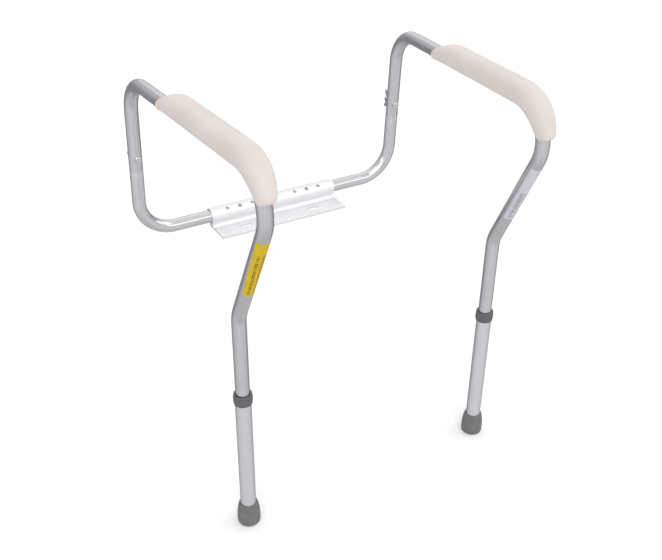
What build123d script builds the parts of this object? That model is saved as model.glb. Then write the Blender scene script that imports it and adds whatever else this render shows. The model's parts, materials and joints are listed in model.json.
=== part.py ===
from build123d import *

import os
from math import cos, radians, sin, sqrt, tan

# Toilet safety frame: two padded arm rails of bent tube, joined by a bracket that bolts on under the
# toilet's seat, with a telescopic front leg under each arm.
#
# Frame: +Z up, the user sits facing -Y, +X is the right arm as seen from the front.
# Origin: centre of the two seat-bolt slots, on the underside of the bracket's flange.
# Everything on the right (+X) is modelled once and mirrored to the left. Millimetres.

# ---- tubes (7/8 in upper tubes, 1 in lower legs)
TUBE_R = 11.1
TUBE_WALL = 1.2
TUBE_BORE_R = TUBE_R - TUBE_WALL
LEG_R = 12.7
LEG_BORE_R = 11.5
BEND_R = 60.0
FRONT_BEND_R = 55.0

# ---- bracket
BRACKET_LENGTH = 245.0
SOCKET_Y = 32.5
SOCKET_Z = 19.5
SOCKET_R = 14.4
SOCKET_BORE_R = 11.4
FLANGE_FRONT_Y = -23.5
FLANGE_THICKNESS = 3.0
FLANGE_LIP = 1.2
WEB_FILLET_R = 6.0
RIB_YS = (13.0, 10.5, 8.0, -14.0)
RIB_WIDTH = 1.2
RIB_HEIGHT = 0.7
SLOT_SPACING = 134.0
SLOT_LENGTH = 23.0
SLOT_WIDTH = 8.0

# ---- width adjustment
BUTTON_X = 67.0
WIDTH_PITCH = 24.0
BUTTON_ELEVATION = 55.0
BASE_END_X = 34.0

# ---- side frame, drawn in an upright plane that toes in towards the front
HALF_SPREAD = 248.0
TOE_IN = 3.2
REAR_LEAN = 3.7
ARM_RISE = 281.0
ARM_REACH = 435.0
FRONT_CORNER_RISE = 211.5
LEG_REACH = 347.5
LEG_CORNER_RISE = 29.5
FLOOR_Z = -357.0

# ---- joint between base tube and arm tube
SEAM_RISE = 122.0
SPIGOT_R = 9.7
SPIGOT_LENGTH = 38.0
JOINT_BOLT_RISE = 144.0
BEAD_SPACING = 3.5
BEAD_R = 0.6
BOLT_R = 3.0
BOLT_HOLE_R = 3.2
BOLT_HEAD_R = 6.0
BOLT_HEAD_HEIGHT = 2.6
WASHER_SIZE = 14.0
WASHER_THICKNESS = 2.0
NUT_BORE_R = 3.1
NUT_HUB_R = 6.5
NUT_HEIGHT = 8.0
WING_SPAN = 34.0
WING_HEIGHT = 15.0
WING_THICKNESS = 2.4
BOLT_TAIL = 3.0

# ---- snap buttons
BUTTON_R = 3.0
BUTTON_HOLE_R = 3.3
BUTTON_FLANGE_R = 3.5
BUTTON_FLANGE = 0.6
BUTTON_BASE = 8.5
WIDTH_BUTTON_TIP = 17.0
LEG_BUTTON_TIP = 16.0
SPRING_THICKNESS = 0.6
SPRING_WIDTH = 7.0
SPRING_LEG = 16.0

# ---- lower legs, heights above the floor
LOWER_LEG_BOTTOM = 8.0
LOWER_LEG_TOP = 262.5
COLLAR_BOTTOM = 247.5
COLLAR_TOP = 265.5
COLLAR_END_R = 14.2
COLLAR_BULGE = 0.8
COLLAR_EDGE_R = 0.8
COLLAR_MOUTH_R = 11.5
FIT = 0.05
ARM_TUBE_END = 80.0
LEG_BUTTON_HEIGHT = 100.0
LEG_PITCH = 25.4
LEG_HOLES_BELOW = 2
LEG_HOLES_ABOVE = 4
GLIDE_R = 11.4
GLIDE_FLANGE = 2.0
GLIDE_PLUG = 12.0
FOOT_HEIGHT = 40.0
FOOT_BOTTOM_R = 17.9
FOOT_TOP_R = 15.2
FOOT_BULGE = 2.0
FOOT_TREAD_EDGE_R = 3.0
FOOT_RIM_EDGE_R = 1.0
FOOT_GROOVE_HEIGHTS = (6.0, 31.0, 34.5)
GROOVE_R = 0.7
GROOVE_DEPTH = 0.35
FOOT_WASHER_R = 12.2
FOOT_WASHER_THICKNESS = 2.0
FOOT_WASHER_HOLE_R = 3.0

# ---- armrest pads
PAD_START = 157.0
PAD_SHOULDER = 54.0
PAD_REAR_RISE = 12.5
PAD_WIDTH = 40.0
PAD_HEIGHT = 35.0
PAD_RISE = 9.7
PAD_INWARD = 3.0
PAD_CORNER_R = 16.0
PAD_FULL_BEND = 34.0
PAD_NOSE_BEND = 40.0
PAD_NOSE_WIDTH = 24.0
PAD_NOSE_HEIGHT = 28.3
PAD_NOSE_CORNER_R = 10.0
PAD_CLEARANCE = 0.05

# ---- stickers on the diagonals
LABEL_THICKNESS = 0.15
LABEL_HALF_ANGLE = 62.0
LABEL_TOP_RISE = 194.0
LABEL_BOTTOM_RISE = 88.0

ON_BASE = (Align.CENTER, Align.CENTER, Align.MIN)

FORWARD = Vector(-sin(radians(TOE_IN)), -cos(radians(TOE_IN)), 0)
UP = Vector(0, 0, 1)
SIDEWAYS = UP.cross(FORWARD)
REAR_FOOT = Vector(HALF_SPREAD, SOCKET_Y, SOCKET_Z)
LEAN = radians(REAR_LEAN)
UPRIGHT = FORWARD * sin(LEAN) + UP * cos(LEAN)
BOLT_DIRECTION = FORWARD * cos(LEAN) - UP * sin(LEAN)


def side_point(reach, rise):
    """A point of the side frame: how far forward of the rear corner, and how far above it."""
    return REAR_FOOT + FORWARD * reach + UP * rise


def above_floor(reach, height):
    """A point of the side frame at a height above the floor."""
    return side_point(reach, FLOOR_Z + height - SOCKET_Z)


def on_upright(rise):
    """A point on the axis of the leaning rear upright, at a distance along it."""
    return REAR_FOOT + UPRIGHT * rise


def rod(start, end, radius):
    """A solid round bar between two points."""
    axis = end - start
    return Plane(start, z_dir=axis) * Cylinder(radius, axis.length, align=ON_BASE)


def barrel(bottom_radius, top_radius, height, bulge, groove_heights=()):
    """A round body standing on the origin, its side an arc that bulges out, with shallow grooves."""
    side = SagittaArc((bottom_radius, 0), (top_radius, height), -bulge)
    closing = Polyline((top_radius, height), (0, height), (0, 0), (bottom_radius, 0))
    profile = make_face(side + closing)
    for groove_height in groove_heights:
        share = groove_height / height
        radius = bottom_radius + (top_radius - bottom_radius) * share + 4 * bulge * share * (1 - share)
        profile -= Pos(radius + GROOVE_R - GROOVE_DEPTH, groove_height) * Circle(GROOVE_R)
    return revolve(Plane.XZ * profile, Axis.Z)


def tube_along(path, radius, bore_radius):
    """A tube swept along a path."""
    section = Circle(radius) - Circle(bore_radius)
    return sweep(Plane(path @ 0, z_dir=path % 0) * section, path=path)


# ---- bracket

def bracket():
    """The extruded bracket: socket, web and flange, with its slots and width holes."""
    fillet_z = FLANGE_THICKNESS + WEB_FILLET_R
    fillet_y = SOCKET_Y - sqrt((SOCKET_R + WEB_FILLET_R) ** 2 - (SOCKET_Z - fillet_z) ** 2)
    rear_y = SOCKET_Y + 2
    section = flat_face(
        (FLANGE_FRONT_Y, 0), (rear_y, 0), (rear_y, FLANGE_THICKNESS), (FLANGE_FRONT_Y, FLANGE_THICKNESS)
    )
    web = flat_face(
        (fillet_y, 0), (rear_y, 0), (rear_y, SOCKET_Z), (SOCKET_Y, SOCKET_Z), (fillet_y, fillet_z)
    )
    section += web - Pos(fillet_y, fillet_z) * Circle(WEB_FILLET_R)
    section += Pos(SOCKET_Y, SOCKET_Z) * Circle(SOCKET_R)
    for rib_y in RIB_YS:
        section += Pos(rib_y, FLANGE_THICKNESS + RIB_HEIGHT / 2) * Rectangle(RIB_WIDTH, RIB_HEIGHT)
    lip_y = FLANGE_FRONT_Y + FLANGE_LIP / 2
    section += Pos(lip_y, FLANGE_THICKNESS + RIB_HEIGHT / 2) * Rectangle(FLANGE_LIP, RIB_HEIGHT)
    section -= Pos(SOCKET_Y, SOCKET_Z) * Circle(SOCKET_BORE_R)
    across = Plane((-BRACKET_LENGTH / 2, 0, 0), x_dir=(0, 1, 0), z_dir=(1, 0, 0))
    body = extrude(across * section, BRACKET_LENGTH)
    slot = extrude(SlotOverall(SLOT_LENGTH, SLOT_WIDTH), FLANGE_THICKNESS * 3, both=True)
    for side in (-1, 1):
        body -= Pos(side * SLOT_SPACING / 2, 0, 0) * slot
        for step in (-1, 0, 1):
            centre = Vector(side * (BUTTON_X + step * WIDTH_PITCH), SOCKET_Y, SOCKET_Z)
            body -= rod(centre, centre + width_button_direction() * (SOCKET_R + 5), BUTTON_HOLE_R)
    return body


def flat_face(*points):
    """A flat face with straight edges."""
    return make_face(Polyline(*points, close=True))


def width_button_direction():
    """The way the width buttons point: up and forward."""
    angle = radians(BUTTON_ELEVATION)
    return Vector(0, -cos(angle), sin(angle))


# ---- tubes of one side

def base_tube():
    """The L-shaped tube in the bracket's socket, with a swaged spigot on its upright."""
    inner_end = Vector(BASE_END_X, SOCKET_Y, SOCKET_Z)
    path = FilletPolyline(inner_end, REAR_FOOT, on_upright(SEAM_RISE), radius=BEND_R)
    tube = tube_along(path, TUBE_R, TUBE_BORE_R)
    seam = on_upright(SEAM_RISE)
    spigot_end = on_upright(SEAM_RISE + SPIGOT_LENGTH)
    neck = on_upright(SEAM_RISE - TUBE_WALL)
    spigot = rod(neck, spigot_end, SPIGOT_R) - rod(neck, spigot_end, SPIGOT_R - TUBE_WALL)
    shoulder = rod(neck, seam, TUBE_R) - rod(neck, seam, SPIGOT_R - TUBE_WALL)
    tube += shoulder
    tube += spigot
    for bead in (1, 2):
        bead_plane = Plane(on_upright(SEAM_RISE - bead * BEAD_SPACING), z_dir=UPRIGHT)
        tube -= bead_plane * Torus(TUBE_R + 0.2, BEAD_R)
    button_point = Vector(BUTTON_X, SOCKET_Y, SOCKET_Z)
    tube -= rod(button_point, button_point + width_button_direction() * (TUBE_R + 5), BUTTON_HOLE_R)
    tube -= bolt_hole()
    return tube


def bolt_hole():
    """The cross hole of the joint bolt through both tubes."""
    centre = on_upright(JOINT_BOLT_RISE)
    return rod(centre - BOLT_DIRECTION * (TUBE_R + 5), centre + BOLT_DIRECTION * (TUBE_R + 5), BOLT_HOLE_R)


def arm_path():
    """Centre line of the arm tube, from the seam up, forward over the arm, and down the leg."""
    return FilletPolyline(
        on_upright(SEAM_RISE),
        side_point(ARM_RISE * tan(LEAN), ARM_RISE),
        side_point(ARM_REACH, ARM_RISE),
        side_point(ARM_REACH, FRONT_CORNER_RISE),
        side_point(LEG_REACH, LEG_CORNER_RISE),
        above_floor(LEG_REACH, ARM_TUBE_END),
        radius=[BEND_R, FRONT_BEND_R, FRONT_BEND_R, BEND_R],
    )


def arm_tube():
    """The bent tube that is the rear upright, the armrest and the upper leg."""
    tube = tube_along(arm_path(), TUBE_R, TUBE_BORE_R)
    tube -= bolt_hole()
    button_point = above_floor(LEG_REACH, LEG_BUTTON_HEIGHT)
    return tube - rod(button_point, button_point + Vector(0, TUBE_R + 5, 0), BUTTON_HOLE_R)


# ---- rear joint hardware

def joint_bolt():
    """Round-head through bolt; the head's underside is curved to sit on the tube."""
    centre = on_upright(JOINT_BOLT_RISE)
    head_top = TUBE_R + BOLT_HEAD_HEIGHT
    head = rod(centre + BOLT_DIRECTION * (TUBE_R - 3), centre + BOLT_DIRECTION * head_top, BOLT_HEAD_R)
    rim = head.edges().filter_by(GeomType.CIRCLE).sort_by(Axis(centre, BOLT_DIRECTION))[-1]
    head = fillet(rim, BOLT_HEAD_HEIGHT * 0.6)
    head -= rod(on_upright(JOINT_BOLT_RISE - 20), on_upright(JOINT_BOLT_RISE + 20), TUBE_R + FIT)
    tail = nut_face() + NUT_HEIGHT + BOLT_TAIL
    shank = rod(centre - BOLT_DIRECTION * tail, centre + BOLT_DIRECTION * (head_top - 1), BOLT_R)
    return head + shank


def nut_face():
    """How far the wing nut's face is from the upright's axis."""
    return TUBE_R + FIT + WASHER_THICKNESS + FIT


def joint_washer():
    """Saddle washer: flat for the nut, hollow for the tube."""
    centre = on_upright(JOINT_BOLT_RISE)
    outer = TUBE_R + FIT + WASHER_THICKNESS
    depth = 5.0
    block_plane = Plane(centre - BOLT_DIRECTION * outer, x_dir=SIDEWAYS, z_dir=BOLT_DIRECTION)
    block = block_plane * Box(WASHER_SIZE, WASHER_SIZE, depth, align=ON_BASE)
    block = fillet(block.edges().filter_by(Axis((0, 0, 0), BOLT_DIRECTION)), 3)
    block -= rod(on_upright(JOINT_BOLT_RISE - 20), on_upright(JOINT_BOLT_RISE + 20), TUBE_R + FIT)
    return block - rod(centre - BOLT_DIRECTION * (outer + 1), centre, BOLT_HOLE_R)


def wing_nut():
    """Wing nut, its wings up and down."""
    centre = on_upright(JOINT_BOLT_RISE)
    face = Plane(centre - BOLT_DIRECTION * nut_face(), x_dir=SIDEWAYS, z_dir=-BOLT_DIRECTION)
    hub = Cone(NUT_HUB_R, NUT_HUB_R - 1.5, NUT_HEIGHT, align=ON_BASE)
    wing = flat_face(
        (0, 1), (NUT_HUB_R, 1), (WING_SPAN / 2 - 3, 6), (WING_SPAN / 2, WING_HEIGHT - 3),
        (WING_SPAN / 2 - 3, WING_HEIGHT), (WING_SPAN / 2 - 8, WING_HEIGHT - 3), (0, NUT_HEIGHT - 2),
    )
    upright_plane = Plane((0, 0, 0), x_dir=(0, 1, 0), z_dir=(1, 0, 0))
    wing = extrude(upright_plane * wing, WING_THICKNESS / 2, both=True)
    nut = hub + wing + mirror(wing, about=Plane.XZ)
    nut -= Cylinder(NUT_BORE_R, WING_HEIGHT * 3)
    return face * nut


# ---- snap buttons, drawn with x along the tube and z out through the wall

def snap_button(tip):
    """Domed pin with a flange that keeps it in the tube."""
    pin = Pos(0, 0, BUTTON_BASE) * Cylinder(BUTTON_R, tip - BUTTON_BASE, align=ON_BASE)
    pin = fillet(pin.edges().sort_by(Axis.Z)[-1], BUTTON_R * 0.7)
    return pin + Pos(0, 0, BUTTON_BASE) * Cylinder(BUTTON_FLANGE_R, BUTTON_FLANGE, align=ON_BASE)


def leaf_spring():
    """U-shaped strip: one leg under the button, the other on the far wall."""
    loop_r = BUTTON_BASE - SPRING_THICKNESS
    outer = Pos(SPRING_LEG) * Circle(BUTTON_BASE)
    outer += Pos(SPRING_LEG / 2 - 2) * Rectangle(SPRING_LEG + 4, 2 * BUTTON_BASE)
    inner = Pos(SPRING_LEG) * Circle(loop_r)
    inner += Pos(SPRING_LEG / 2 - 7) * Rectangle(SPRING_LEG + 14, 2 * loop_r)
    upright_plane = Plane((0, 0, 0), x_dir=(1, 0, 0), z_dir=(0, -1, 0))
    return extrude(upright_plane * (outer - inner), SPRING_WIDTH / 2, both=True)


def width_button_plane():
    """On the socket's axis at the button, x towards the tube's inner end, z out of the hole."""
    return Plane((BUTTON_X, SOCKET_Y, SOCKET_Z), x_dir=(1, 0, 0), z_dir=width_button_direction())


def leg_button_plane():
    """On the leg's axis at the button, x up the leg, z to the rear."""
    return Plane(above_floor(LEG_REACH, LEG_BUTTON_HEIGHT), x_dir=(0, 0, 1), z_dir=(0, 1, 0))


# ---- lower leg

def leg_glide():
    """Plastic bush plugged into the arm tube's lower end, running in the lower leg."""
    end = above_floor(LEG_REACH, ARM_TUBE_END)
    flange = rod(end - UP * GLIDE_FLANGE, end, GLIDE_R)
    plug = rod(end - UP * GLIDE_FLANGE, end + UP * GLIDE_PLUG, TUBE_BORE_R - FIT)
    bore = rod(end - UP * (GLIDE_FLANGE + 1), end + UP * (GLIDE_PLUG + 1), TUBE_BORE_R - 2.5)
    return flange + plug - bore


def lower_leg():
    """Outer leg tube with its row of height holes at the rear."""
    bottom = above_floor(LEG_REACH, LOWER_LEG_BOTTOM)
    top = above_floor(LEG_REACH, LOWER_LEG_TOP)
    tube = rod(bottom, top, LEG_R) - rod(bottom - UP, top + UP, LEG_BORE_R)
    for step in range(-LEG_HOLES_BELOW, LEG_HOLES_ABOVE + 1):
        hole = above_floor(LEG_REACH, LEG_BUTTON_HEIGHT + step * LEG_PITCH)
        tube -= rod(hole, hole + Vector(0, LEG_R + 5, 0), BUTTON_HOLE_R)
    return tube


def leg_collar():
    """Plastic collar over the lower leg's top end."""
    bottom = above_floor(LEG_REACH, COLLAR_BOTTOM)
    top = above_floor(LEG_REACH, COLLAR_TOP)
    height = COLLAR_TOP - COLLAR_BOTTOM
    body = Pos(bottom) * barrel(COLLAR_END_R, COLLAR_END_R, height, COLLAR_BULGE)
    body = fillet(body.edges().filter_by(GeomType.CIRCLE), COLLAR_EDGE_R)
    body -= rod(bottom - UP, above_floor(LEG_REACH, LOWER_LEG_TOP + FIT), LEG_R + FIT)
    return body - rod(bottom, top + UP, COLLAR_MOUTH_R)


def foot():
    """Bell-shaped rubber tip, widest a third of the way up, with shallow grooves round it."""
    body = barrel(FOOT_BOTTOM_R, FOOT_TOP_R, FOOT_HEIGHT, FOOT_BULGE, FOOT_GROOVE_HEIGHTS)
    body = Pos(above_floor(LEG_REACH, 0)) * body
    body = fillet(body.edges().filter_by(GeomType.CIRCLE).sort_by(Axis.Z)[0], FOOT_TREAD_EDGE_R)
    body = fillet(body.edges().filter_by(GeomType.CIRCLE).sort_by(Axis.Z)[-1], FOOT_RIM_EDGE_R)
    socket_floor = above_floor(LEG_REACH, LOWER_LEG_BOTTOM - FOOT_WASHER_THICKNESS)
    return body - rod(socket_floor, above_floor(LEG_REACH, FOOT_HEIGHT + 1), LEG_R + FIT)


def foot_washer():
    """Steel washer in the foot that the leg tube stands on."""
    top = above_floor(LEG_REACH, LOWER_LEG_BOTTOM)
    bottom = top - UP * FOOT_WASHER_THICKNESS
    return rod(bottom, top, FOOT_WASHER_R) - rod(bottom - UP, top + UP, FOOT_WASHER_HOLE_R)


# ---- armrest pad and sticker

def arm_pad():
    """Foam pad on top of the arm tube; it narrows over the front bend, and its rear is a shoulder."""
    start = side_point(PAD_START, ARM_RISE)
    local = Plane(start, x_dir=FORWARD, z_dir=FORWARD.cross(UP))
    straight = ARM_REACH - FRONT_BEND_R - PAD_START
    full_bend = JernArc((straight, 0), (1, 0), FRONT_BEND_R, -PAD_FULL_BEND)
    nose_bend = JernArc(full_bend @ 1, full_bend % 1, FRONT_BEND_R, -PAD_NOSE_BEND)
    run = local * (Line((0, 0), (straight, 0)) + full_bend)
    bend = local * nose_bend
    section = Pos(-PAD_INWARD, PAD_RISE) * RectangleRounded(PAD_WIDTH, PAD_HEIGHT, PAD_CORNER_R)
    nose_rise = PAD_RISE + (PAD_NOSE_HEIGHT - PAD_HEIGHT) / 2
    nose = Pos(0, nose_rise) * RectangleRounded(PAD_NOSE_WIDTH, PAD_NOSE_HEIGHT, PAD_NOSE_CORNER_R)
    pad = sweep(Plane(start, x_dir=SIDEWAYS, z_dir=FORWARD) * section, path=run)
    nose_start = Plane(bend @ 0, x_dir=SIDEWAYS, z_dir=bend % 0) * section
    nose_end = Plane(bend @ 1, x_dir=SIDEWAYS, z_dir=bend % 1) * nose
    pad += sweep([nose_start, nose_end], path=bend, multisection=True)
    top = PAD_RISE + PAD_HEIGHT / 2
    shoulder = TangentArc((PAD_SHOULDER, top), (0, PAD_REAR_RISE), tangent=(-1, 0))
    above = Polyline((0, PAD_REAR_RISE), (0, top + 1), (PAD_SHOULDER, top + 1), (PAD_SHOULDER, top))
    pad -= extrude(local * make_face(shoulder + above), PAD_WIDTH, both=True)
    channel = Plane(start, z_dir=FORWARD) * Circle(TUBE_R + PAD_CLEARANCE)
    return pad - sweep(channel, path=local * (Line((0, 0), (straight, 0)) + full_bend + nose_bend))


def label():
    """Thin sticker round the front of the diagonal tube."""
    top_corner = side_point(ARM_REACH, FRONT_CORNER_RISE)
    bottom_corner = side_point(LEG_REACH, LEG_CORNER_RISE)
    slope = (ARM_REACH - LEG_REACH) / (FRONT_CORNER_RISE - LEG_CORNER_RISE)
    low = bottom_corner + (FORWARD * slope + UP) * (LABEL_BOTTOM_RISE - LEG_CORNER_RISE)
    high = bottom_corner + (FORWARD * slope + UP) * (LABEL_TOP_RISE - LEG_CORNER_RISE)
    ring = rod(low, high, TUBE_R + FIT + LABEL_THICKNESS) - rod(low, high, TUBE_R + FIT)
    axis = top_corner - bottom_corner
    outward = axis.cross(SIDEWAYS).normalized()
    if outward.dot(FORWARD) < 0:
        outward = -outward
    reach = 40.0
    half = reach * tan(radians(LABEL_HALF_ANGLE))
    wedge = flat_face((0, 0), (reach, -half), (reach, half))
    wedge = extrude(Plane(low, x_dir=outward, z_dir=axis) * wedge, (high - low).length)
    return ring & wedge


def right_side():
    """Every piece of the right side, by name."""
    width_plane = width_button_plane()
    leg_plane = leg_button_plane()
    return {
        "base_tube": base_tube(),
        "width_button": width_plane * snap_button(WIDTH_BUTTON_TIP),
        "width_button_spring": width_plane * leaf_spring(),
        "arm_tube": arm_tube(),
        "joint_bolt": joint_bolt(),
        "joint_washer": joint_washer(),
        "wing_nut": wing_nut(),
        "arm_pad": arm_pad(),
        "leg_button": leg_plane * snap_button(LEG_BUTTON_TIP),
        "leg_button_spring": leg_plane * leaf_spring(),
        "leg_glide": leg_glide(),
        "lower_leg": lower_leg(),
        "leg_collar": leg_collar(),
        "foot": foot(),
        "foot_washer": foot_washer(),
        "label": label(),
    }


def main():
    os.makedirs("parts", exist_ok=True)
    export_step(bracket(), "parts/mounting_bracket.step")
    for name, piece in right_side().items():
        export_step(piece, f"parts/right_{name}.step")
        export_step(mirror(piece, about=Plane.YZ), f"parts/left_{name}.step")


main()
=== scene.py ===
import json
from math import atan2, copysign, cos, hypot, pi, radians, sin, sqrt

import bmesh
import bpy
from mathutils import Matrix, Vector


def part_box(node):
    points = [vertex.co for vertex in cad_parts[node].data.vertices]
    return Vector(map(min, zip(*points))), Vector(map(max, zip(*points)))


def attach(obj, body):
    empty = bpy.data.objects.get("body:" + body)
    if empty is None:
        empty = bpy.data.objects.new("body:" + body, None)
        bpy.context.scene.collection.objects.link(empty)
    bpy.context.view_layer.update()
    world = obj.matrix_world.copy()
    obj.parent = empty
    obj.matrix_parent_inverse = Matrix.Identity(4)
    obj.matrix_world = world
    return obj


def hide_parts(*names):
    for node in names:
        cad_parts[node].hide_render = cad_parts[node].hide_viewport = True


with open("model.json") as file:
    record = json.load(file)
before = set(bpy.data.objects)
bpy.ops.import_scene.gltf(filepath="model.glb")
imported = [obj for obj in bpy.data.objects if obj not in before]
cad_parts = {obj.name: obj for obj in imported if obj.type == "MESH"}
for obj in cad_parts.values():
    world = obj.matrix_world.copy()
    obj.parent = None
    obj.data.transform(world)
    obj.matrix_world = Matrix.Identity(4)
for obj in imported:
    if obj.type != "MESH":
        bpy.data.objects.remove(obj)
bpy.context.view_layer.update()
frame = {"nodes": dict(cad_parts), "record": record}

# A toilet safety frame in a plain pale studio. Metres, in the CAD frame: +Z up, the user faces -Y.
# The CAD nodes keep their shape and get their materials here. The two armrest pads and the two
# stickers are modelled here and stand for their plain CAD solids.

SIDES = {"left": -1, "right": 1}
MM = 0.001
UP = Vector((0, 0, 1))
SHARP_ANGLE = radians(40)

# ---- the side frame's driving sizes
TUBE_R = 11.1 * MM
TOE_IN = radians(3.2)
REAR_LEAN = radians(3.7)
HALF_SPREAD = 248.0 * MM
SOCKET_Y = 32.5 * MM
SOCKET_Z = 19.5 * MM
ARM_RISE = 281.0 * MM
ARM_REACH = 435.0 * MM
FRONT_CORNER_RISE = 211.5 * MM
LEG_REACH = 347.5 * MM
LEG_CORNER_RISE = 29.5 * MM
FRONT_BEND_R = 55.0 * MM

# ---- armrest pad
PAD_START = {"left": 154.5 * MM, "right": 160.5 * MM}
PAD_LENGTH = 293.5 * MM
PAD_SHOULDER = 53.0 * MM
PAD_REAR_TOP = 12.5 * MM
PAD_HALF_WIDTH = 20.0 * MM
PAD_TOP = 27.2 * MM
PAD_BOTTOM = -7.8 * MM
PAD_INWARD = 3.0 * MM
PAD_ROUNDNESS = 2.5
PAD_CROWN = 0.5 * MM
PAD_FRONT_EDGE_R = 5.0 * MM
PAD_NOSE_LENGTH = 71.0 * MM
PAD_NOSE_HALF_WIDTH = 12.0 * MM
PAD_NOSE_TOP = 20.5 * MM
PAD_NOSE_INWARD = 0.3 * MM
PAD_NOSE_POWER = 2.6
PAD_REAR_EDGE_R = 2.2 * MM
PAD_CHANNEL_R = TUBE_R + 0.15 * MM
PAD_LIP_R = 0.8 * MM
PAD_MIDDLE = 9.0 * MM
PAD_MIDDLE_SHIFT = 1.0 * MM
PAD_SIDE_INSET = 0.35
PARTING_LINE_DEPTH = 0.22 * MM
PARTING_LINE_HEIGHT = 1.0 * MM
PARTING_LINE_HALF_WIDTH = 0.5 * MM
OUTLINE_STEPS = 96
LIP_STEPS = 5
LIP_SEARCH_STEPS = 30
CHANNEL_STEPS = 28
REAR_EDGE_STEPS = 5
FRONT_EDGE_STEPS = 8
MIDDLE_STEPS = 90

# ---- stickers on the diagonals
STICKER_OFFSET = 0.05 * MM
STICKER_THICKNESS = 0.15 * MM
STICKER_HALF_ANGLE = radians(60)
STICKER_TURN = radians(-9)
STICKER_SKEW = {"left": radians(12), "right": radians(4)}
STICKER_TOP_RISE = 193.5 * MM
STICKER_BOTTOM_RISE = 88.5 * MM
STICKER_CORNER = 0.03
STICKER_COLUMNS = 36
STICKER_ROWS = 60

# ---- the stickers' print, in shares of the sticker's width and length
PRINT_LINES = 11.0
PRINT_LINE_SPAN = (0.25, 0.85)
PRINT_LINE_OFFSET = 0.37
PRINT_WORD_SCALE = 34.0
PRINT_WORD_LEVEL = 0.45
PRINT_PARAGRAPH = 0.11
PRINT_PARAGRAPH_FILL = 0.94

# ---- camera: above the left front, looking down at the frame
CAMERA_PLACE = (-0.6678, -1.3231, 0.7919)
CAMERA_AZIMUTH = radians(-30.287)
CAMERA_DOWN = radians(32.243)
CAMERA_ROLL = radians(0.585)
CAMERA_LENS = 50.54
CAMERA_SENSOR = 36.0
CAMERA_SHIFT = (0.0015, 0.0068)

# ---- floor: two halves; the right one is a hair lower and runs a little way under the left one
FLOOR_HALF = 14.0
FLOOR_LAP = 60.0 * MM
FLOOR_STEP = 0.3 * MM

# ---- suns: the way from the object to each, its strength and its width
SUNS = {
    "key_light": ((-0.5, -1.0, 1.3), 0.94, radians(45)),
    "fill_light": ((1.3, -0.4, 0.9), 0.50, radians(45)),
    "back_light": ((0.7, 1.2, 1.0), 0.25, radians(60)),
}

# ---- the surroundings that the metal mirrors: stops of a value from 0 to 1 and a brightness.
# OVERHEAD and STRIP_HEIGHT go by the sine of the elevation, LOW_LEFT and LOW_RIGHT from in front of the
# object to behind it. BELOW is straight down, and BACKDROP is what shows past the floor's edge.
# Each of the last four is the range over which one of them blends into its neighbour.
OVERHEAD = (
    (0.00, (0.70, 0.70, 0.72)),
    (0.45, (0.68, 0.68, 0.70)),
    (0.72, (0.88, 0.88, 0.89)),
    (0.90, (1.00, 1.00, 1.00)),
    (1.00, (1.00, 1.00, 1.00)),
)
LOW_LEFT = (
    (0.00, (0.97, 0.97, 0.98)),
    (0.42, (0.82, 0.82, 0.84)),
    (0.62, (0.54, 0.54, 0.56)),
    (0.80, (0.28, 0.28, 0.30)),
    (1.00, (0.52, 0.52, 0.54)),
)
LOW_RIGHT = (
    (0.00, (0.97, 0.97, 0.98)),
    (0.50, (0.84, 0.84, 0.86)),
    (0.72, (0.46, 0.46, 0.48)),
    (0.88, (0.30, 0.30, 0.32)),
    (1.00, (0.52, 0.52, 0.54)),
)
STRIP_HEIGHT = (
    (0.26, (0, 0, 0)),
    (0.34, (1, 1, 1)),
    (0.46, (1, 1, 1)),
    (0.54, (0, 0, 0)),
)
STRIP_LIGHT = (2.6, 2.6, 2.6)
BELOW = (0.74, 0.74, 0.75)
BACKDROP = (0.96, 0.96, 0.96)
LOW_TO_OVERHEAD = (-0.05, 0.30)
LEFT_TO_RIGHT = (-0.4, 0.4)
BELOW_TO_LOW = (-0.85, -0.62)
STRIP_TO_BEHIND = (0.28, 0.45)


# ---- materials

def new_material(name):
    """An empty node material with its Principled shader and output."""
    material = bpy.data.materials.new(name)
    material.use_nodes = True
    tree = material.node_tree
    tree.nodes.clear()
    output = tree.nodes.new("ShaderNodeOutputMaterial")
    shader = tree.nodes.new("ShaderNodeBsdfPrincipled")
    tree.links.new(shader.outputs["BSDF"], output.inputs["Surface"])
    return material, tree, shader


def object_space(tree, stretch=(1, 1, 1), turn=(0, 0, 0)):
    """Object coordinates in metres, turned and then stretched."""
    place = tree.nodes.new("ShaderNodeTexCoord")
    turned = tree.nodes.new("ShaderNodeMapping")
    turned.inputs["Rotation"].default_value = turn
    stretched = tree.nodes.new("ShaderNodeMapping")
    stretched.inputs["Scale"].default_value = stretch
    tree.links.new(place.outputs["Object"], turned.inputs["Vector"])
    tree.links.new(turned.outputs["Vector"], stretched.inputs["Vector"])
    return stretched.outputs["Vector"]


def noise(tree, space, scale, detail=3.0, roughness=0.55):
    """A noise value from 0 to 1."""
    node = tree.nodes.new("ShaderNodeTexNoise")
    node.inputs["Scale"].default_value = scale
    node.inputs["Detail"].default_value = detail
    node.inputs["Roughness"].default_value = roughness
    tree.links.new(space, node.inputs["Vector"])
    return node.outputs["Fac"]


def spread(tree, value, low, high, start=0.35, stop=0.65):
    """A value mapped from start..stop to low..high."""
    node = tree.nodes.new("ShaderNodeMapRange")
    node.inputs["From Min"].default_value = start
    node.inputs["From Max"].default_value = stop
    node.inputs["To Min"].default_value = low
    node.inputs["To Max"].default_value = high
    tree.links.new(value, node.inputs["Value"])
    return node.outputs["Result"]


def ramp(tree, value, *stops):
    """Colours along a value: each stop is a position and an RGB colour."""
    node = tree.nodes.new("ShaderNodeValToRGB")
    elements = node.color_ramp.elements
    while len(elements) < len(stops):
        elements.new(0.5)
    for element, (position, colour) in zip(elements, stops):
        element.position = position
        element.color = (*colour, 1)
    tree.links.new(value, node.inputs["Fac"])
    return node.outputs["Color"]


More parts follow.
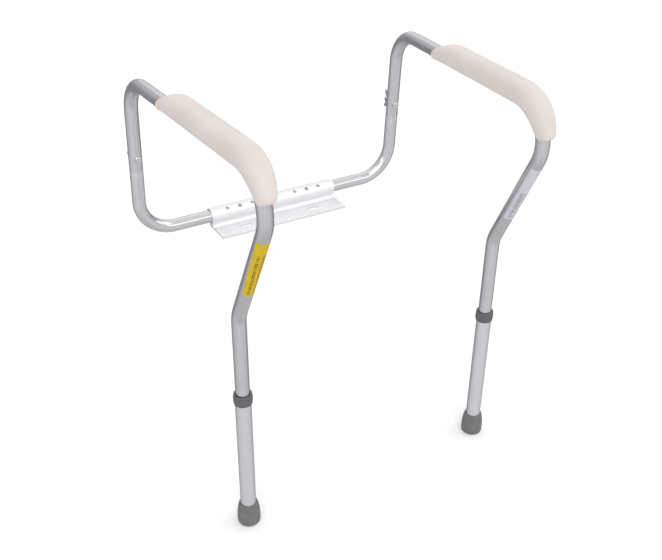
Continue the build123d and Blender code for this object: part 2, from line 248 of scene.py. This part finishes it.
def mix_colours(tree, share, first, second):
    """A colour between two others; each is a node's output or a plain RGB colour."""
    node = tree.nodes.new("ShaderNodeMix")
    node.data_type = "RGBA"
    tree.links.new(share, node.inputs[0])
    for socket, colour in zip((node.inputs[6], node.inputs[7]), (first, second)):
        if isinstance(colour, tuple):
            socket.default_value = (*colour, 1)
        else:
            tree.links.new(colour, socket)
    return node.outputs[2]


def bump(tree, shader, heights):
    """Several bumps in a row, each a height value, a strength and a distance in metres."""
    normal = None
    for height, strength, distance in heights:
        node = tree.nodes.new("ShaderNodeBump")
        node.inputs["Strength"].default_value = strength
        node.inputs["Distance"].default_value = distance
        tree.links.new(height, node.inputs["Height"])
        if normal is not None:
            tree.links.new(normal, node.inputs["Normal"])
        normal = node.outputs["Normal"]
    tree.links.new(normal, shader.inputs["Normal"])


def satin_metal(name, dark, light, stretch, turn=(0, 0, 0), gloss=(0.18, 0.28), streaks=0.22):
    """Anodised or plated metal: fine drawn streaks along the tube, clouded brightness and gloss."""
    material, tree, shader = new_material(name)
    lines = noise(tree, object_space(tree, stretch, turn), 1.0, detail=4.0)
    cloud = noise(tree, object_space(tree), 28.0, detail=2.0)
    grain = noise(tree, object_space(tree), 2600.0, detail=1.0)
    tree.links.new(ramp(tree, lines, (0.3, dark), (0.7, light)), shader.inputs["Base Color"])
    tree.links.new(spread(tree, cloud, *gloss), shader.inputs["Roughness"])
    shader.inputs["Metallic"].default_value = 1.0
    bump(tree, shader, [(lines, streaks, 0.00004), (grain, 0.10, 0.00003)])
    return material


def pad_foam():
    """Self-skinned polyurethane foam: warm off-white, a fine leathery skin, faint handling marks."""
    material, tree, shader = new_material("pad_foam")
    space = object_space(tree)
    cloud = noise(tree, space, 16.0, detail=3.0)
    blotch = noise(tree, space, 60.0, detail=2.0)
    pore = noise(tree, space, 2200.0, detail=2.0)
    skin = tree.nodes.new("ShaderNodeTexVoronoi")
    skin.inputs["Scale"].default_value = 1100.0
    tree.links.new(space, skin.inputs["Vector"])
    dark, plain, light = (0.62, 0.565, 0.53), (0.65, 0.595, 0.56), (0.68, 0.625, 0.595)
    colour = ramp(tree, cloud, (0.30, dark), (0.50, plain), (0.72, light))
    tree.links.new(colour, shader.inputs["Base Color"])
    tree.links.new(spread(tree, blotch, 0.46, 0.58), shader.inputs["Roughness"])
    shader.inputs["Subsurface Weight"].default_value = 0.08
    shader.inputs["Subsurface Radius"].default_value = (0.004, 0.003, 0.002)
    shader.inputs["Subsurface Scale"].default_value = 1.0
    bump(tree, shader, [(skin.outputs["Distance"], 0.12, 0.00008), (pore, 0.10, 0.00005)])
    return material


def foot_rubber():
    """Moulded grey rubber: matte, slightly dusty, with a fine grain."""
    material, tree, shader = new_material("foot_rubber")
    space = object_space(tree)
    dust = noise(tree, space, 70.0, detail=5.0)
    grain = noise(tree, space, 1500.0, detail=3.0)
    clean, plain, dusty = (0.138, 0.138, 0.140), (0.160, 0.160, 0.162), (0.198, 0.198, 0.198)
    colour = ramp(tree, dust, (0.30, clean), (0.55, plain), (0.80, dusty))
    tree.links.new(colour, shader.inputs["Base Color"])
    tree.links.new(spread(tree, dust, 0.66, 0.85), shader.inputs["Roughness"])
    shader.inputs["Specular IOR Level"].default_value = 0.35
    bump(tree, shader, [(grain, 0.35, 0.00012)])
    return material


def moulded_plastic(name, dark, light, gloss=(0.42, 0.55)):
    """Plain moulded plastic with a fine spark-eroded texture and faint flow marks."""
    material, tree, shader = new_material(name)
    flow = noise(tree, object_space(tree, (1, 1, 3)), 40.0, detail=3.0)
    texture = noise(tree, object_space(tree), 1900.0, detail=2.0)
    tree.links.new(ramp(tree, flow, (0.35, dark), (0.65, light)), shader.inputs["Base Color"])
    tree.links.new(spread(tree, flow, *gloss), shader.inputs["Roughness"])
    bump(tree, shader, [(texture, 0.25, 0.00008)])
    return material


def math_node(tree, operation, first, second):
    """A maths node; an argument is a number or another node's output."""
    node = tree.nodes.new("ShaderNodeMath")
    node.operation = operation
    for socket, value in zip(node.inputs, (first, second)):
        if isinstance(value, (int, float)):
            socket.default_value = value
        else:
            tree.links.new(value, socket)
    return node.outputs["Value"]


def inside(tree, value, low, high):
    """1 where a value lies between low and high, else 0."""
    above = math_node(tree, "GREATER_THAN", value, low)
    below = math_node(tree, "LESS_THAN", value, high)
    return math_node(tree, "MULTIPLY", above, below)


def printed_rows(tree, across, along, columns, first, last):
    """Lines of dashes of uneven length inside columns, as a stand-in for small print."""
    lines = math_node(tree, "MULTIPLY", across, PRINT_LINES)
    in_line = math_node(tree, "FRACT", lines, 0.0)
    own_patches = math_node(tree, "MULTIPLY", math_node(tree, "FLOOR", lines, 0.0), PRINT_LINE_OFFSET)
    place = tree.nodes.new("ShaderNodeCombineXYZ")
    tree.links.new(own_patches, place.inputs["X"])
    tree.links.new(along, place.inputs["Y"])
    patches = tree.nodes.new("ShaderNodeTexNoise")
    patches.noise_dimensions = "2D"
    patches.inputs["Scale"].default_value = PRINT_WORD_SCALE
    tree.links.new(place.outputs["Vector"], patches.inputs["Vector"])
    words = math_node(tree, "GREATER_THAN", patches.outputs["Fac"], PRINT_WORD_LEVEL)
    paragraph = math_node(tree, "FRACT", math_node(tree, "DIVIDE", along, PRINT_PARAGRAPH), 0.0)
    in_paragraph = math_node(tree, "LESS_THAN", paragraph, PRINT_PARAGRAPH_FILL)
    dashes = math_node(tree, "MULTIPLY", inside(tree, in_line, *PRINT_LINE_SPAN), words)
    dashes = math_node(tree, "MULTIPLY", dashes, inside(tree, along, first, last))
    dashes = math_node(tree, "MULTIPLY", dashes, in_paragraph)
    total = None
    for low, high in columns:
        column = inside(tree, across, low, high)
        total = column if total is None else math_node(tree, "MAXIMUM", total, column)
    return math_node(tree, "MULTIPLY", dashes, total)


def sticker_print(name, ground, faded, ink, columns, rows):
    """A printed sticker: coloured ground, and dashes for small print."""
    material, tree, shader = new_material(name)
    uv = tree.nodes.new("ShaderNodeUVMap")
    uv.uv_map = "print"
    split = tree.nodes.new("ShaderNodeSeparateXYZ")
    tree.links.new(uv.outputs["UV"], split.inputs["Vector"])
    across, along = split.outputs["X"], split.outputs["Y"]
    fade = noise(tree, object_space(tree), 90.0, detail=3.0)
    base = ramp(tree, fade, (0.35, ground), (0.7, faded))
    marks = printed_rows(tree, across, along, columns, *rows)
    base = mix_colours(tree, marks, base, ink)
    tree.links.new(base, shader.inputs["Base Color"])
    tree.links.new(spread(tree, fade, 0.42, 0.54), shader.inputs["Roughness"])
    shader.inputs["Specular IOR Level"].default_value = 0.22
    bump(tree, shader, [(fade, 0.05, 0.0001)])
    return material


def make_materials():
    """Every material, by the name of the record's slot; some slots differ by the way a tube runs."""
    lean_turn = (-REAR_LEAN, 0, 0)
    across = 1500.0
    along = 12.0
    return {
        "bracket_aluminium": satin_metal(
            "bracket_aluminium", (0.79, 0.79, 0.80), (0.85, 0.85, 0.86),
            (along, across, across), gloss=(0.54, 0.64),
        ),
        "base_tube": satin_metal(
            "base_tube_aluminium", (0.56, 0.56, 0.57), (0.66, 0.66, 0.67),
            (along, across, along), lean_turn,
        ),
        "left_arm_tube": satin_metal(
            "left_arm_aluminium", (0.52, 0.52, 0.53), (0.62, 0.62, 0.63),
            (across, along, along), (0, 0, -TOE_IN),
        ),
        "right_arm_tube": satin_metal(
            "right_arm_aluminium", (0.52, 0.52, 0.53), (0.62, 0.62, 0.63),
            (across, along, along), (0, 0, TOE_IN),
        ),
        "leg_aluminium": satin_metal(
            "leg_aluminium", (0.63, 0.63, 0.645), (0.71, 0.71, 0.725),
            (across, across, along), gloss=(0.30, 0.42),
        ),
        "button_steel": satin_metal(
            "button_steel", (0.30, 0.30, 0.31), (0.42, 0.42, 0.43),
            (400.0, 400.0, 400.0), gloss=(0.22, 0.34),
        ),
        "spring_steel": satin_metal(
            "spring_steel", (0.35, 0.36, 0.38), (0.45, 0.46, 0.48),
            (900.0, 60.0, 60.0), gloss=(0.25, 0.40),
        ),
        "fastener_steel": satin_metal(
            "fastener_steel", (0.50, 0.50, 0.51), (0.66, 0.66, 0.67),
            (500.0, 500.0, 500.0), gloss=(0.22, 0.38),
        ),
        "pad_foam": pad_foam(),
        "foot_rubber": foot_rubber(),
        "collar_plastic": moulded_plastic("collar_plastic", (0.086, 0.086, 0.092), (0.108, 0.108, 0.114)),
        "glide_plastic": moulded_plastic("glide_plastic", (0.74, 0.74, 0.73), (0.80, 0.80, 0.79)),
        "yellow_sticker": sticker_print(
            "yellow_sticker",
            ground=(0.56, 0.39, 0.001),
            faded=(0.62, 0.44, 0.004),
            ink=(0.10, 0.07, 0.005),
            columns=((0.28, 0.46), (0.60, 0.88)),
            rows=(0.04, 0.79),
        ),
        "white_sticker": sticker_print(
            "white_sticker",
            ground=(0.50, 0.49, 0.54),
            faded=(0.57, 0.56, 0.61),
            ink=(0.22, 0.21, 0.26),
            columns=((0.22, 0.50), (0.62, 0.90)),
            rows=(0.04, 0.55),
        ),
    }


def paint(obj, material):
    """Gives an object one material in every slot."""
    if not obj.material_slots:
        obj.data.materials.append(material)
    for material_slot in obj.material_slots:
        material_slot.material = material


def paint_cad_nodes(materials):
    """Every CAD node takes the material of its slot, or of its own kind of tube."""
    for part in frame["record"]["subparts"]:
        name = part["node"]
        kind = name.split("_", 1)[1]
        own = materials.get(name) or materials.get(kind)
        paint(frame["nodes"][name], own or materials[part["material_slot"]])


# ---- directions and points of one side

def forward_of(side):
    """The way a side's tubes run, from the rear to the front."""
    return Vector((-SIDES[side] * sin(TOE_IN), -cos(TOE_IN), 0))


def outward_of(side):
    """Level and square to a side's plane, away from the seat."""
    return UP.cross(forward_of(side)) * SIDES[side]


def side_point(side, reach, rise):
    """A point of the side frame: how far forward of the rear corner, and how far above it."""
    rear_corner = Vector((SIDES[side] * HALF_SPREAD, SOCKET_Y, SOCKET_Z))
    return rear_corner + forward_of(side) * reach + UP * rise


def mesh_object(name, points, faces, uv=None):
    """A smooth-shaded mesh object; uv gives a pair for each point."""
    mesh = bpy.data.meshes.new(name)
    mesh.from_pydata([tuple(p) for p in points], [], faces)
    mesh.validate()
    if uv:
        layer = mesh.uv_layers.new(name="print")
        for loop in mesh.loops:
            layer.data[loop.index].uv = uv[loop.vertex_index]
    shape = bmesh.new()
    shape.from_mesh(mesh)
    bmesh.ops.recalc_face_normals(shape, faces=shape.faces)
    shape.to_mesh(mesh)
    shape.free()
    for polygon in mesh.polygons:
        polygon.use_smooth = True
    mesh.set_sharp_from_angle(angle=SHARP_ANGLE)
    obj = bpy.data.objects.new(name, mesh)
    bpy.context.scene.collection.objects.link(obj)
    return obj


# ---- armrest pads

def pad_path_point(side, length):
    """Point of the arm tube's axis and the way up from it, at a length along the pad."""
    forward = forward_of(side)
    start = PAD_START[side]
    straight = ARM_REACH - FRONT_BEND_R - start
    if length <= straight:
        return side_point(side, start + length, ARM_RISE), UP
    angle = (length - straight) / FRONT_BEND_R
    centre = side_point(side, ARM_REACH - FRONT_BEND_R, ARM_RISE - FRONT_BEND_R)
    normal = forward * sin(angle) + UP * cos(angle)
    return centre + normal * FRONT_BEND_R, normal


def pad_top(length):
    """Height of the pad's crown above the tube's axis: a rounded shoulder, then nearly level."""
    drop = PAD_TOP - PAD_REAR_TOP
    radius = (PAD_SHOULDER ** 2 + drop ** 2) / (2 * drop)
    if length < PAD_SHOULDER:
        return PAD_TOP - radius + sqrt(radius ** 2 - (PAD_SHOULDER - length) ** 2)
    share = (length - PAD_SHOULDER) / (PAD_LENGTH - PAD_SHOULDER)
    return PAD_TOP + PAD_CROWN * sin(pi * min(1, share)) ** 2


def edge_inset(length):
    """How far the crown draws in near the pad's ends, so that their edges are rounded."""
    inset = 0.0
    for distance, radius in ((length, PAD_REAR_EDGE_R), (PAD_LENGTH - length, PAD_FRONT_EDGE_R)):
        if distance < radius:
            inset += radius - sqrt(max(0.0, radius ** 2 - (radius - distance) ** 2))
    return inset


def nose_share(length):
    """How far the pad has narrowed to its front end: 0 before the bend, 1 at the end."""
    share = (length - (PAD_LENGTH - PAD_NOSE_LENGTH)) / PAD_NOSE_LENGTH
    return min(1.0, max(0.0, share)) ** PAD_NOSE_POWER


def outline_point(angle, top, half, shift):
    """A point of the pad's egg-shaped outline, inward and up from the tube's axis."""
    middle = min(PAD_MIDDLE, (top + PAD_BOTTOM) / 2 + PAD_MIDDLE_SHIFT)
    rise = top - middle if sin(angle) > 0 else middle - PAD_BOTTOM
    power = 2 / PAD_ROUNDNESS
    z = middle + copysign(abs(sin(angle)) ** power, sin(angle)) * rise
    groove = PARTING_LINE_DEPTH * max(0.0, 1 - abs(z - PARTING_LINE_HEIGHT) / PARTING_LINE_HALF_WIDTH)
    x = copysign(abs(cos(angle)) ** power * half - groove, cos(angle))
    return x + shift, z


def lip_angle(low, high, *sizes):
    """The outline's angle where only the lip's thickness is left over the channel."""
    limit = PAD_CHANNEL_R + 2 * PAD_LIP_R
    for _ in range(LIP_SEARCH_STEPS):
        middle = (low + high) / 2
        if hypot(*outline_point(middle, *sizes)) < limit:
            low = middle
        else:
            high = middle
    return high


def lip_points(angle, turns):
    """Points of the rounded lip that ends the pad at an angle round the tube."""
    middle_r = PAD_CHANNEL_R + PAD_LIP_R
    points = []
    for turn in turns:
        out = middle_r + PAD_LIP_R * cos(turn)
        around = PAD_LIP_R * sin(turn)
        points.append((out * cos(angle) - around * sin(angle), out * sin(angle) + around * cos(angle)))
    return points


def pad_section(length):
    """Closed section loop: the outline, a rounded lip, the channel over the tube, and a lip again."""
    inset = edge_inset(length)
    nose = nose_share(length)
    top = pad_top(length) + (PAD_NOSE_TOP - PAD_TOP) * nose - inset
    half = PAD_HALF_WIDTH + (PAD_NOSE_HALF_WIDTH - PAD_HALF_WIDTH) * nose - PAD_SIDE_INSET * inset
    shift = PAD_INWARD + (PAD_NOSE_INWARD - PAD_INWARD) * nose
    sizes = (top, half, shift)
    first = lip_angle(-pi / 2, pi / 2, *sizes)
    last = lip_angle(3 * pi / 2, pi / 2, *sizes)
    loop = []
    for step in range(OUTLINE_STEPS + 1):
        loop.append(outline_point(first + (last - first) * step / OUTLINE_STEPS, *sizes))
    from_angle = atan2(loop[-1][1], loop[-1][0]) % (2 * pi)
    to_angle = atan2(loop[0][1], loop[0][0])
    turns = [pi * step / LIP_STEPS for step in range(1, LIP_STEPS)]
    loop += lip_points(from_angle, turns)
    for step in range(CHANNEL_STEPS + 1):
        angle = from_angle + (to_angle - from_angle) * step / CHANNEL_STEPS
        loop.append((PAD_CHANNEL_R * cos(angle), PAD_CHANNEL_R * sin(angle)))
    return loop + lip_points(to_angle, [turn - pi for turn in turns])


def rounded_edge(radius, steps):
    """Distances from a pad's end, close together where its edge is rounded."""
    return [radius * (1 - cos(pi / 2 * step / steps)) for step in range(steps + 1)]


def pad_stations():
    """Lengths along the pad of its sections."""
    rear = rounded_edge(PAD_REAR_EDGE_R, REAR_EDGE_STEPS)
    front = [PAD_LENGTH - distance for distance in reversed(rounded_edge(PAD_FRONT_EDGE_R, FRONT_EDGE_STEPS))]
    spacing = (front[0] - rear[-1]) / MIDDLE_STEPS
    middle = [rear[-1] + spacing * step for step in range(1, MIDDLE_STEPS)]
    return rear + middle + front


def arm_pad(side, material):
    """One armrest pad: the section swept along the arm tube and over its front bend."""
    name = f"{side}_arm_pad_foam"
    inward = -outward_of(side)
    points, faces = [], []
    stations = pad_stations()
    for length in stations:
        origin, normal = pad_path_point(side, length)
        for x, z in pad_section(length):
            points.append(origin + inward * x + normal * z)
    ring = len(points) // len(stations)
    for row in range(len(stations) - 1):
        for i in range(ring):
            j = (i + 1) % ring
            a, b = row * ring, (row + 1) * ring
            faces.append((a + i, a + j, b + j, b + i))
    last = (len(stations) - 1) * ring
    faces += [tuple(range(ring)), tuple(range(last, last + ring))]
    pad = mesh_object(name, points, faces)
    paint(pad, material)
    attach(pad, f"{side}_side")
    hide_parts(f"{side}_arm_pad")


# ---- stickers

def sticker_grid(side):
    """Points of a sticker's outer and then its inner face, row by row, and their print coordinates."""
    low = side_point(side, LEG_REACH, LEG_CORNER_RISE)
    high = side_point(side, ARM_REACH, FRONT_CORNER_RISE)
    axis = (high - low).normalized()
    sideways = UP.cross(forward_of(side))
    front = axis.cross(sideways).normalized()
    if front.dot(forward_of(side)) < 0:
        front = -front
    length_from = (STICKER_BOTTOM_RISE - LEG_CORNER_RISE) / axis.z
    length_to = (STICKER_TOP_RISE - LEG_CORNER_RISE) / axis.z
    inner_r = TUBE_R + STICKER_OFFSET
    points, uv = [], []
    for radius in (inner_r + STICKER_THICKNESS, inner_r):
        for row in range(STICKER_ROWS + 1):
            along = row / STICKER_ROWS
            from_end = min(1, min(along, 1 - along) / STICKER_CORNER)
            trim = STICKER_CORNER * (1 - sqrt(max(0.0, 1 - (1 - from_end) ** 2)))
            centre = low + axis * (length_from + (length_to - length_from) * along)
            for column in range(STICKER_COLUMNS + 1):
                across = (2 * column / STICKER_COLUMNS - 1) * (1 - 2 * trim)
                angle = STICKER_TURN + across * STICKER_HALF_ANGLE + STICKER_SKEW[side] * (0.5 - along)
                points.append(centre + (front * cos(angle) + sideways * sin(angle)) * radius)
                uv.append((0.5 + across / 2, along))
    return points, uv


def sticker(side, material):
    """A thin sticker with rounded corners, wrapped a little askew round the front of the diagonal tube."""
    points, uv = sticker_grid(side)
    width = STICKER_COLUMNS + 1
    layer = width * (STICKER_ROWS + 1)
    faces = []
    for row in range(STICKER_ROWS):
        for column in range(STICKER_COLUMNS):
            a = row * width + column
            faces.append((a, a + 1, a + 1 + width, a + width))
            faces.append((layer + a, layer + a + width, layer + a + 1 + width, layer + a + 1))
    rim = list(range(width))
    rim += [row * width + STICKER_COLUMNS for row in range(1, STICKER_ROWS + 1)]
    rim += [STICKER_ROWS * width + column for column in range(STICKER_COLUMNS - 1, -1, -1)]
    rim += [row * width for row in range(STICKER_ROWS - 1, 0, -1)]
    for a, b in zip(rim, rim[1:] + rim[:1]):
        faces.append((a, layer + a, layer + b, b))
    piece = mesh_object(f"{side}_sticker", points, faces, uv)
    paint(piece, material)
    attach(piece, f"{side}_side")
    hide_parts(f"{side}_label")


# ---- studio

def floor_paper():
    """Plain pale paper with faint, wide clouds."""
    material, tree, shader = new_material("floor_paper")
    tone = noise(tree, object_space(tree), 0.6, detail=2.0)
    colour = ramp(tree, tone, (0.3, (0.90, 0.90, 0.90)), (0.7, (0.92, 0.92, 0.92)))
    tree.links.new(colour, shader.inputs["Base Color"])
    shader.inputs["Roughness"].default_value = 0.9
    shader.inputs["Specular IOR Level"].default_value = 0.1
    return material


def floor(side, material, inner, drop):
    """One side's half of the floor, which stays level with the sole of that side's foot."""
    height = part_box(f"{side}_foot")[0].z - drop
    outer = SIDES[side] * FLOOR_HALF
    corners = [(inner, -FLOOR_HALF, height), (outer, -FLOOR_HALF, height)]
    corners += [(outer, FLOOR_HALF, height), (inner, FLOOR_HALF, height)]
    obj = mesh_object(f"{side}_floor", corners, [(0, 1, 2, 3)])
    paint(obj, material)
    obj.visible_glossy = False
    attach(obj, f"{side}_lower_leg_body")


def soft_sun(name, toward, strength, spread_angle):
    """A wide, distant soft light; toward points from the object to the light."""
    light = bpy.data.lights.new(name, "SUN")
    light.energy = strength
    light.angle = spread_angle
    obj = bpy.data.objects.new(name, light)
    obj.rotation_euler = Vector(toward).to_track_quat("Z", "Y").to_euler()
    bpy.context.scene.collection.objects.link(obj)


def surroundings():
    """The world: light overhead, dark low down behind the object, and a plain backdrop for the camera."""
    world = bpy.data.worlds.new("studio")
    world.use_nodes = True
    tree = world.node_tree
    place = tree.nodes.new("ShaderNodeTexCoord")
    turned = tree.nodes.new("ShaderNodeMapping")
    turned.inputs["Rotation"].default_value = (0, 0, -CAMERA_AZIMUTH)
    split = tree.nodes.new("ShaderNodeSeparateXYZ")
    rays = tree.nodes.new("ShaderNodeLightPath")
    tree.links.new(place.outputs["Generated"], turned.inputs["Vector"])
    tree.links.new(turned.outputs["Vector"], split.inputs["Vector"])
    sideways, behind, height = split.outputs["X"], split.outputs["Y"], split.outputs["Z"]
    how_far_behind = spread(tree, behind, 0, 1, -1, 1)
    low_left = ramp(tree, how_far_behind, *LOW_LEFT)
    low_right = ramp(tree, how_far_behind, *LOW_RIGHT)
    low_down = mix_colours(tree, spread(tree, sideways, 0, 1, *LEFT_TO_RIGHT), low_left, low_right)
    low_down = mix_colours(tree, spread(tree, height, 1, 0, *BELOW_TO_LOW), low_down, BELOW)
    overhead = ramp(tree, height, *OVERHEAD)
    tent = mix_colours(tree, spread(tree, height, 0, 1, *LOW_TO_OVERHEAD), low_down, overhead)
    strip = ramp(tree, height, *STRIP_HEIGHT)
    in_front = spread(tree, how_far_behind, 1, 0, *STRIP_TO_BEHIND)
    strip = math_node(tree, "MULTIPLY", strip, in_front)
    strip = math_node(tree, "MULTIPLY", strip, rays.outputs["Is Glossy Ray"])
    tent = mix_colours(tree, strip, tent, STRIP_LIGHT)
    tent = mix_colours(tree, rays.outputs["Is Camera Ray"], tent, BACKDROP)
    tree.links.new(tent, tree.nodes["Background"].inputs["Color"])
    bpy.context.scene.world = world


def camera():
    """The photograph's viewing angle."""
    data = bpy.data.cameras.new("camera")
    data.sensor_width = CAMERA_SENSOR
    data.lens = CAMERA_LENS
    data.shift_x, data.shift_y = CAMERA_SHIFT
    turn = Matrix.Rotation(CAMERA_AZIMUTH, 4, "Z")
    turn @= Matrix.Rotation(pi / 2 - CAMERA_DOWN, 4, "X")
    turn @= Matrix.Rotation(CAMERA_ROLL, 4, "Z")
    obj = bpy.data.objects.new("camera", data)
    obj.matrix_world = Matrix.Translation(CAMERA_PLACE) @ turn
    bpy.context.scene.collection.objects.link(obj)
    bpy.context.scene.camera = obj


camera()
materials = make_materials()
paint_cad_nodes(materials)
for side_name in SIDES:
    arm_pad(side_name, materials["pad_foam"])
    sticker(side_name, materials["yellow_sticker" if side_name == "left" else "white_sticker"])
paper = floor_paper()
floor("left", paper, inner=0.0, drop=0.0)
floor("right", paper, inner=-FLOOR_LAP, drop=FLOOR_STEP)
for light_name, (toward, strength, width) in SUNS.items():
    soft_sun(light_name, toward, strength, width)
surroundings()
bpy.context.scene.view_settings.view_transform = "Standard"
